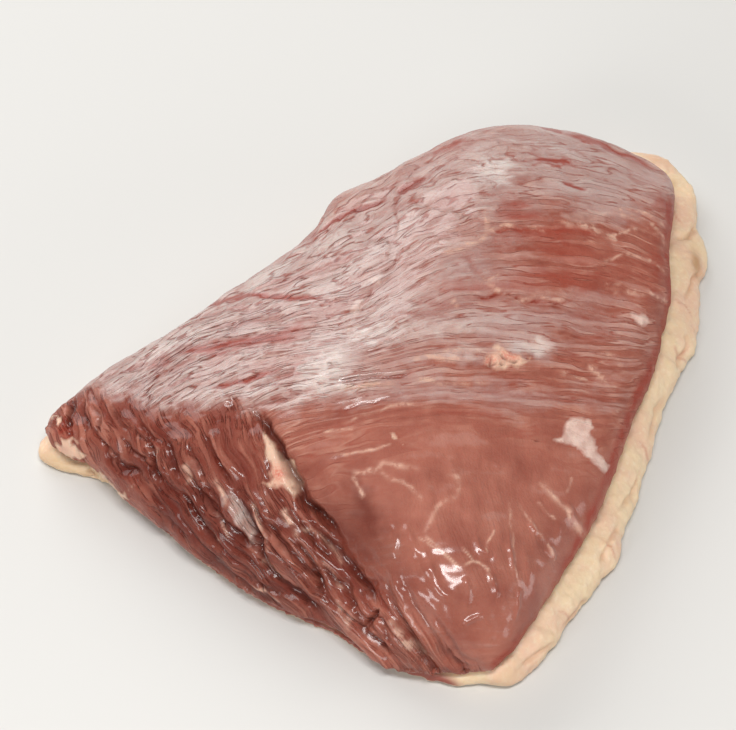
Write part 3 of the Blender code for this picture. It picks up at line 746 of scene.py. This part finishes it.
# Thin lines lie where a grain crosses a level, and they are drawn dark as painted shade in the grooves. Each
# kind has the grain, the level, how far from it the line fades out, and its strength. The lips are painted
# highlight: pale edges beside the threads, as if lit.
thin = {}
for name, crossed, level, fade, most in (
    ("crepe_shade", "fibres", 0.5, 0.07, 0.3), ("wrinkles", "wrinkles", 0.5, 0.055, 1.0),
    ("threads", "threads", 0.5, 0.035, 1.0), ("folds", "folds", 0.5, 0.05, 1.0),
    ("lit_lips", "threads", 0.565, 0.04, 0.42),
):
    off = add(tree, "ShaderNodeMath", {0: grain[crossed], 1: level}, operation="SUBTRACT").outputs[0]
    off = add(tree, "ShaderNodeMath", {0: off}, operation="ABSOLUTE").outputs[0]
    thin[name] = add(tree, "ShaderNodeMapRange", {0: off, 1: 0.0, 2: fade, 3: most, 4: 0.0}).outputs[0]

# Shares that follow a grain or a mark: what is followed, its range from and to, and the share at each end
share = {}
for name, follows, low, high, at_low, at_high in (
    ("gathered", grain["blotches"], 0.42, 0.56, 0.35, 0.9),
    ("patchy", grain["blotches"], 0.42, 0.56, 0.0, 1.0), ("calm", grain["blotches"], 0.3, 0.7, 0.4, 0.58),
    ("lit_crest", grain["folds"], 0.3, 0.7, 0.26, 0.8),
    ("broken", grain["mottle"], 0.42, 0.52, 0.25, 1.0), ("uneven", grain["mottle"], 0.35, 0.6, 0.65, 1.0),
    ("grainy", grain["specks"], 0.35, 0.6, 0.3, 1.0), ("smooth", marks["wet"], 0.0, 0.5, 1.0, 0.0),
    ("open", marks["hidden"], 0.0, 1.0, 1.0, 0.35), ("wall", marks["wall"], 0.0, 1.0, 0.0, 0.35),
    ("groove_shade", marks["groove_shade"], 0.0, 1.0, 0.0, 0.45), ("red", marks["red"], 0.15, 0.75, 0.0, 0.85),
    ("hollow_shade", marks["hollow_shade"], 0.0, 1.0, 0.0, 0.8), ("patch_and_glint", marks["patch_and_glint"], 0.2, 0.9, 0.0, 0.75),
    ("cream", marks["cream"], 0.15, 0.85, 0.0, 0.85), ("crease", marks["crease"], 0.2, 0.95, 0.0, 0.78),
):
    share[name] = add(
        tree, "ShaderNodeMapRange", {0: follows, 1: low, 2: high, 3: at_low, 4: at_high},
    ).outputs[0]

# The lines and the swell of the skin: wrinkles on the thin side, threads on the thick side, folds on the
# wall. The film is taut off the wall and the dome.
taut = add(
    tree, "ShaderNodeMath", {0: share["smooth"], 1: marks["wall"]}, operation="SUBTRACT", use_clamp=True,
).outputs[0]
lines = add(
    tree, "ShaderNodeMath", {0: thin["threads"], 1: share["gathered"]}, operation="MULTIPLY",
).outputs[0]
lines = add(tree, "ShaderNodeMix", {0: marks["loose"], 2: lines, 3: thin["wrinkles"]}).outputs[0]
lines = add(tree, "ShaderNodeMix", {0: marks["wall"], 2: lines, 3: thin["folds"]}).outputs[0]
for part in (share["broken"], share["smooth"], share["open"]):
    lines = add(tree, "ShaderNodeMath", {0: lines, 1: part}, operation="MULTIPLY").outputs[0]
lit_lip = thin["lit_lips"]
for part in (taut, taut, share["open"], share["patchy"]):
    lit_lip = add(tree, "ShaderNodeMath", {0: lit_lip, 1: part}, operation="MULTIPLY").outputs[0]
swell = add(tree, "ShaderNodeMix", {0: marks["loose"], 2: grain["threads"], 3: grain["wrinkles"]}).outputs[0]
swell = add(tree, "ShaderNodeMix", {0: marks["wall"], 2: swell, 3: grain["folds"]}).outputs[0]
fibres = add(tree, "ShaderNodeMix", {0: taut, 2: grain["mottle"], 3: grain["fibres"]}).outputs[0]
streaks = add(tree, "ShaderNodeMix", {0: taut, 2: grain["blotches"], 3: grain["streaks"]}).outputs[0]

# The meat's own red, darker and lighter at random, with painted light and shade: lighter where the grain
# swells and on the crests of the wall's folds, darker between them. Then how much film covers it.
shade = add(tree, "ShaderNodeMix", {0: 0.5, 2: grain["blotches"], 3: grain["mottle"]}).outputs[0]
shade = add(tree, "ShaderNodeMix", {0: 0.25, 2: shade, 3: fibres}).outputs[0]
shade = add(tree, "ShaderNodeMix", {0: 0.4, 2: shade, 3: swell}).outputs[0]
shade = add(tree, "ShaderNodeMix", {0: share["smooth"], 2: share["calm"], 3: shade}).outputs[0]
shade = add(tree, "ShaderNodeMix", {0: marks["wall"], 2: shade, 3: share["lit_crest"]}).outputs[0]
base = add(tree, "ShaderNodeValToRGB", {"Fac": shade}, [(0.3, LEAN_DARK), (0.7, LEAN_LIGHT)]).outputs["Color"]
cover = add(tree, "ShaderNodeMix", {0: 0.5, 2: streaks, 3: swell}).outputs[0]
cover = add(tree, "ShaderNodeMix", {0: 0.15, 2: cover, 3: fibres}).outputs[0]
cover = add(tree, "ShaderNodeMapRange", {0: cover, 1: 0.38, 2: 0.62, 3: 0.0, 4: 0.5}).outputs[0]
cover = add(tree, "ShaderNodeMath", {0: marks["film_and_sheen"], 1: 1.3, 2: cover}, operation="MULTIPLY_ADD").outputs[0]
cover = add(tree, "ShaderNodeMapRange", {0: cover, 1: 0.4, 2: 1.35, 3: 0.0, 4: 0.85}).outputs[0]
bare = add(tree, "ShaderNodeMapRange", {0: lines, 3: 1.0, 4: 0.25}).outputs[0]
layer = {}
for name, one, other in (
    ("film_and_sheen", cover, bare), ("thick", marks["thick"], bare), ("crepe_shade", thin["crepe_shade"], marks["rough"]),
    ("line", lines, LINE_SHADE), ("web_and_glint", marks["web_and_glint"], share["broken"]),
    ("patch_and_glint", share["patch_and_glint"], share["uneven"]), ("coral", marks["coral"], share["grainy"]),
):
    layer[name] = add(tree, "ShaderNodeMath", {0: one, 1: other}, operation="MULTIPLY").outputs[0]

# What lies over the meat, from the lowest layer to the highest
lump = add(
    tree, "ShaderNodeMix", {0: layer["coral"], 6: CREAM_COLOUR, 7: CORAL_COLOUR}, data_type="RGBA",
).outputs[2]
for amount, colour in (
    (share["wall"], WALL_COLOUR), (lit_lip, WEB_AND_HIGHLIGHT_COLOUR), (layer["film_and_sheen"], FILM_AND_SHEEN_COLOUR),
    (layer["thick"], THICK_FILM_AND_SHEEN_COLOUR), (layer["crepe_shade"], GROOVE_SHADE_COLOUR), (share["groove_shade"], GROOVE_SHADE_COLOUR),
    (layer["line"], GROOVE_SHADE_COLOUR), (share["red"], RED_COLOUR), (share["hollow_shade"], SHADE_COLOUR),
    (layer["web_and_glint"], WEB_AND_HIGHLIGHT_COLOUR), (layer["patch_and_glint"], PATCH_AND_GLINT_COLOUR), (share["cream"], lump),
    (share["crease"], CREASE_SHADE_COLOUR),
):
    base = add(tree, "ShaderNodeMix", {0: amount, 6: base, 7: colour}, data_type="RGBA").outputs[2]

# The height of the grain, which is ironed out where the skin is taut with juice, and the coat of juice
rise = swell
for part, amount in ((fibres, 0.55), (lines, -0.6)):
    rise = add(tree, "ShaderNodeMath", {0: part, 1: amount, 2: rise}, operation="MULTIPLY_ADD").outputs[0]
rise = add(tree, "ShaderNodeMath", {0: rise, 1: marks["rough"]}, operation="MULTIPLY").outputs[0]
ripple = add(tree, "ShaderNodeMath", {0: grain["folds"], 1: marks["wet"]}, operation="MULTIPLY").outputs[0]
for part, amount in ((ripple, 0.4), (grain["specks"], 0.15)):
    rise = add(tree, "ShaderNodeMath", {0: part, 1: amount, 2: rise}, operation="MULTIPLY_ADD").outputs[0]
bump = add(tree, "ShaderNodeBump", {"Height": rise, "Strength": 1.0, "Distance": SKIN_BUMP}).outputs[0]
juice = 0.55
for name, more in (("wall", -0.18), ("flank", -0.48), ("wet", 0.3)):
    juice = add(
        tree, "ShaderNodeMath", {0: marks[name], 1: more, 2: juice}, operation="MULTIPLY_ADD",
    ).outputs[0]
finish_piece(lean, beef, {
    "Base Color": base, "Roughness": 0.5, "Normal": bump, "IOR": 1.42, "Specular IOR Level": 0.1,
    "Subsurface Weight": 0.12, "Subsurface Radius": (1.0, 0.25, 0.15), "Subsurface Scale": DEPTH_OF_LIGHT,
    "Coat Weight": juice, "Coat Roughness": 0.17,
})
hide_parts("muscle")
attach(lean, "root")

# The fat cap is a layer of firm cool fat under the whole muscle, joined to it by membrane. A knife has cut it
# at a slant along the thick side, and the cut shows nicks, lumps between threads, and a few pink veins.
FAT_VOXEL = 1.7 * MM
FAT_UNDERSIDE = -0.8  # a face whose normal points down more than this lies on the floor


def off_floor(middles, normals):
    """The faces of the fat that don't lie on the floor."""
    return normals[:, 2] > FAT_UNDERSIDE


fat = refined("fat_cap", FAT_VOXEL, "fat", [off_floor])
places, outward = read_points(fat)
mm = places / MM
facing = turned_to_camera(places, outward, 4, 0.2)
photo = seen_at(places)
near_lines = photo + drift(mm, 5, 71) * 3

# Nicks with their half width and depth in millimetres, veins with their half width, each with its line, the
# strip that the lean's juice has smeared, and the ovals that are stained; those at the tip are also painted
# shade. It crumples where it is free.
NICKS = [
    (1.2, 2.2, [(700, 221), (695, 230), (684, 236), (676, 238)]),
    (0.8, 1.2, [(703, 268), (692, 280), (684, 300)]), (0.8, 1.0, [(690, 330), (684, 352), (676, 372)]),
    (0.8, 1.0, [(668, 392), (655, 418), (648, 440)]), (0.8, 1.2, [(640, 470), (632, 492), (618, 512)]),
    (0.8, 1.0, [(622, 520), (608, 545), (598, 566)]), (0.9, 1.2, [(598, 590), (580, 610), (566, 632)]),
    (0.8, 1.0, [(556, 640), (540, 655), (520, 668)]), (1.0, 1.6, [(86, 468), (92, 474), (95, 482)]),
    (1.0, 1.4, [(110, 476), (113, 484), (110, 490)]),
]
VEINS = [
    (0.5, [(674, 346), (680, 355), (690, 368)]), (0.4, [(689, 346), (682, 356), (676, 364)]),
    (0.4, [(690, 252), (697, 262), (700, 276)]), (0.35, [(672, 300), (684, 306), (694, 318)]),
    (0.35, [(640, 440), (648, 452), (650, 466)]), (0.35, [(600, 540), (612, 548), (616, 562)]),
    (0.35, [(664, 196), (674, 214), (682, 222)]), (0.35, [(556, 610), (570, 618), (578, 632)]),
]
SMEARED = [
    (130, 480), (200, 540), (330, 625), (440, 672), (462, 684), (440, 700), (300, 670), (120, 530),
]
STAINED_AND_SHADED = [
    (697, 264, 5, 14, -10, 0.9), (660, 162, 14, 5, 20, 0.2), (118, 492, 14, 8, 45, 0.4),
    (672, 184, 5, 5, 0, 0.6), (52, 464, 26, 12, 20, 0.5), (95, 480, 30, 9, 28, 0.45),
    (508, 677, 34, 12, -35, 0.22),
]
SMEAR_EDGE, FREE_HEIGHT = 5, 1.5  # pixels, and millimetres above the floor
nicks = np.zeros(len(mm))
relief = np.zeros(len(mm))
for half_width, depth, line in NICKS:
    mark = stroke(near_lines, line, half_width) * facing
    nicks = np.maximum(nicks, mark)
    relief -= depth * mark
veins = np.zeros(len(mm))
for half_width, line in VEINS:
    veins = np.maximum(veins, stroke(near_lines, line, half_width) * facing)
free = np.clip(mm[:, 2] / FREE_HEIGHT, 0, 1)
along_cut = TURN_SIN * mm[:, 0] + TURN_COS * mm[:, 1]
into_cut = TURN_COS * mm[:, 0] - TURN_SIN * mm[:, 1]
side = np.column_stack([mm[:, 2], along_cut, into_cut])
crumple = wrinkles(side, 9, 4.5, 74, 0.3)
for height, size, seed in ((0.7, 8, 75), (0.4, 3.5, 76), (0.2, 1.7, 77)):
    relief += free * height * noise(mm / size, seed)
relief -= 0.25 * free * crumple
smear = inside(SMEARED, near_lines, SMEAR_EDGE) * facing
stain_and_shade = spots(photo, STAINED_AND_SHADED) * facing
fat.data.vertices.foreach_set("co", (places + outward * (relief * MM)[:, None]).ravel())
fat.data.update()
areas = {"nicks": nicks, "veins": veins, "smear": smear, "stain_and_shade": stain_and_shade, "crumple": crumple * free}
for name, values in areas.items():
    store(fat, name, values)

# Raw beef fat, firm and cool: a cream, waxy, slightly see-through body, dull where the knife dragged over
# it. It is yellower in some lobes and pinker in others, with red veins, brown where it has dried, and painted
# shade at its tip.
FAT_COLOUR, FAT_PINK, FAT_PALE = "#E0C6A2", "#DDB79B", "#E8D8BC"
VEIN_COLOUR, STAIN_AND_SHADE_COLOUR, SMEAR_COLOUR, NICK_COLOUR = "#B4604C", "#B08A62", "#8E4A3C", "#C99A78"
CLOUD, LUMP, FAT_SPECK = 20 * MM, 7 * MM, 1.6 * MM
FAT_BUMP, FAT_DEPTH_OF_LIGHT = 0.4 * MM, 3 * MM
tallow = new_material("beef_fat")
tree = tallow.node_tree
marks = {}
for name in areas:
    marks[name] = add(tree, "ShaderNodeAttribute", attribute_name=name).outputs["Fac"]
object_place = add(tree, "ShaderNodeTexCoord").outputs["Object"]
grain = {}
for name, size in (("clouds", CLOUD), ("specks", FAT_SPECK)):
    grain[name] = add(
        tree, "ShaderNodeTexNoise", {"Vector": object_place, "Scale": 1 / size, "Detail": 4},
    ).outputs["Fac"]
threads = add(
    tree, "ShaderNodeTexVoronoi", {"Vector": object_place, "Scale": 1 / LUMP}, feature="DISTANCE_TO_EDGE",
).outputs[0]
base = add(
    tree, "ShaderNodeValToRGB", {"Fac": grain["clouds"]}, [(0.42, FAT_COLOUR), (0.62, FAT_PINK)],
).outputs["Color"]

# What colours it: what is followed, its range from and to, and the share of the colour at each end
for follows, low, high, at_low, at_high, colour in (
    (grain["specks"], 0.5, 0.75, 0.0, 0.5, FAT_PALE), (threads, 0.0, 0.06, 0.12, 0.0, FAT_PINK),
    (marks["crumple"], 0.0, 1.0, 0.0, 0.15, FAT_PINK), (marks["nicks"], 0.0, 1.0, 0.0, 0.5, NICK_COLOUR),
    (marks["veins"], 0.0, 1.0, 0.0, 0.45, VEIN_COLOUR), (marks["stain_and_shade"], 0.0, 1.0, 0.0, 1.0, STAIN_AND_SHADE_COLOUR),
    (marks["smear"], 0.0, 1.0, 0.0, 1.0, SMEAR_COLOUR),
):
    amount = add(
        tree, "ShaderNodeMapRange", {0: follows, 1: low, 2: high, 3: at_low, 4: at_high},
    ).outputs[0]
    base = add(tree, "ShaderNodeMix", {0: amount, 6: base, 7: colour}, data_type="RGBA").outputs[2]
bump = add(
    tree, "ShaderNodeBump", {"Height": grain["specks"], "Strength": 0.5, "Distance": FAT_BUMP},
).outputs[0]
finish_piece(fat, tallow, {
    "Base Color": base, "Normal": bump, "Roughness": 0.5, "IOR": 1.45, "Subsurface Weight": 0.25,
    "Subsurface Radius": (1.0, 0.6, 0.35), "Subsurface Scale": FAT_DEPTH_OF_LIGHT, "Coat Weight": 0.12,
    "Coat Roughness": 0.3,
})
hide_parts("fat_cap")
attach(fat, "root")

# A plain pale floor, and soft studio light from four panels: a wide one behind on the left, whose reflection
# makes the film shine, a narrow one overhead for the dome, a small one in front on the left for the folds of
# the wall, and a wide low one on the right for the thick side and the cut fat.
FLOOR_SIZE, FLOOR_COLOUR = 8, "#CFCDC9"
SURROUND_COLOUR, SURROUND_LIGHT = "#FFFFFF", 0.19
bpy.ops.mesh.primitive_plane_add(size=FLOOR_SIZE)
floor = bpy.context.object
floor.name = "floor"
# Flat paint, matt and even, so that it shows the soft shadow alone
paint = new_material("painted_floor")
finish_piece(floor, paint, {"Base Color": FLOOR_COLOUR, "Roughness": 0.8})

# Each panel has its place, its width and height, all in metres, and its watts, and faces the joint
PANELS = [
    ("panel_back", (-0.62, 1.05, 0.80), (1.5, 0.9), 17),
    ("panel_top", (0.05, -0.42, 1.25), (0.7, 0.2), 12),
    ("panel_left", (-0.75, -1.0, 0.5), (0.6, 0.35), 7),
    ("panel_right", (1.7, -0.65, 0.45), (1.6, 0.5), 10),
]
for name, stand, (wide, high), watts in PANELS:
    light = bpy.data.objects.new(name, bpy.data.lights.new(name, "AREA"))
    light.data.shape = "RECTANGLE"
    light.data.size, light.data.size_y = wide, high
    light.data.energy = watts
    light.location = stand
    light.rotation_euler = (Vector(TARGET) - Vector(stand)).to_track_quat("-Z", "Y").to_euler()
    bpy.context.scene.collection.objects.link(light)
world = bpy.data.worlds.new("studio")
world.use_nodes = True
surround = world.node_tree.nodes["Background"]
surround.inputs["Color"].default_value = linear(SURROUND_COLOUR)
surround.inputs["Strength"].default_value = SURROUND_LIGHT
bpy.context.scene.world = world
bpy.context.scene.view_settings.view_transform = "Standard"
